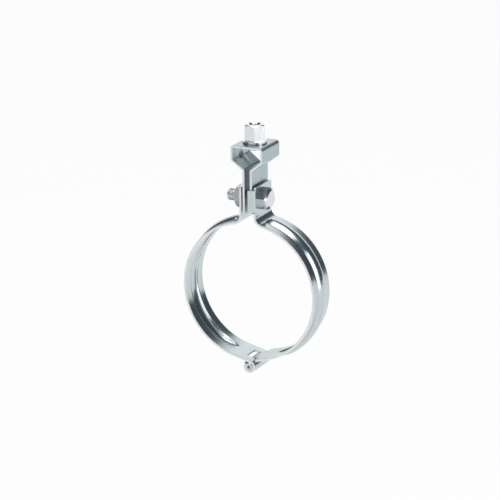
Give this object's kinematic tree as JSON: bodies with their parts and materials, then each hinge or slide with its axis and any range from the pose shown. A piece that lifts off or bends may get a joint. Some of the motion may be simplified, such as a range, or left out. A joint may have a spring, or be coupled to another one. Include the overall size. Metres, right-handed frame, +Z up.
{
  "type": "pipe hanger band",
  "caption": "Two-piece hinged strap clamp that hangs a pipe from a threaded rod: a bolt closes its ears on a folded bracket with a swivel nut on top.",
  "frame": {"origin": "on the axis of the clamped pipe, halfway across the width of the band", "axes": "+Z up to the hanging rod, +Y along the pipe away from the pictured side, +X towards the head of the clamp bolt"},
  "size_m": [0.1238, 0.0331, 0.2079],
  "materials": {
    "band_strip": "pre-galvanised steel strip, satin bright",
    "bracket_strip": "zinc-plated steel strip, bright",
    "pin": "zinc-plated steel, semi bright",
    "fastener": "bright zinc-plated steel"
  },
  "bodies": {
    "swivel_nut": {"rod_nut": "fastener"},
    "hanger": {"hanger_bracket": "bracket_strip", "band_half_left": "band_strip", "hinge_pin": "pin"},
    "right_half": {"band_half_right": "band_strip"},
    "bolt": {"clamp_bolt": "fastener"},
    "nut": {"clamp_nut": "fastener"}
  },
  "joints": [
    {"name": "bracket_swivel", "type": "hinge", "parent": "swivel_nut", "child": "hanger", "pos_m": [0, 0, 0.1214], "axis": [0, 0, 1], "continuous": true},
    {"name": "clamp_nut_spin", "type": "hinge", "parent": "hanger", "child": "nut", "pos_m": [-0.0113, 0, 0.0765], "axis": [-1, 0, 0], "range_deg": [0, 1980]},
    {"name": "clamp_bolt_slide", "type": "slide", "parent": "hanger", "child": "bolt", "axis": [1, 0, 0], "range_m": [0, 0.00825]},
    {"name": "band_open", "type": "hinge", "parent": "hanger", "child": "right_half", "pos_m": [0, 0, -0.06467], "axis": [0, 1, 0], "range_deg": [0, 3.14]}
  ],
  "couplings": [
    {"joint": "clamp_nut_spin", "follows": "clamp_bolt_slide", "rad_per_m": 4188.8},
    {"joint": "band_open", "follows": "clamp_bolt_slide", "rad_per_m": 6.64}
  ]
}
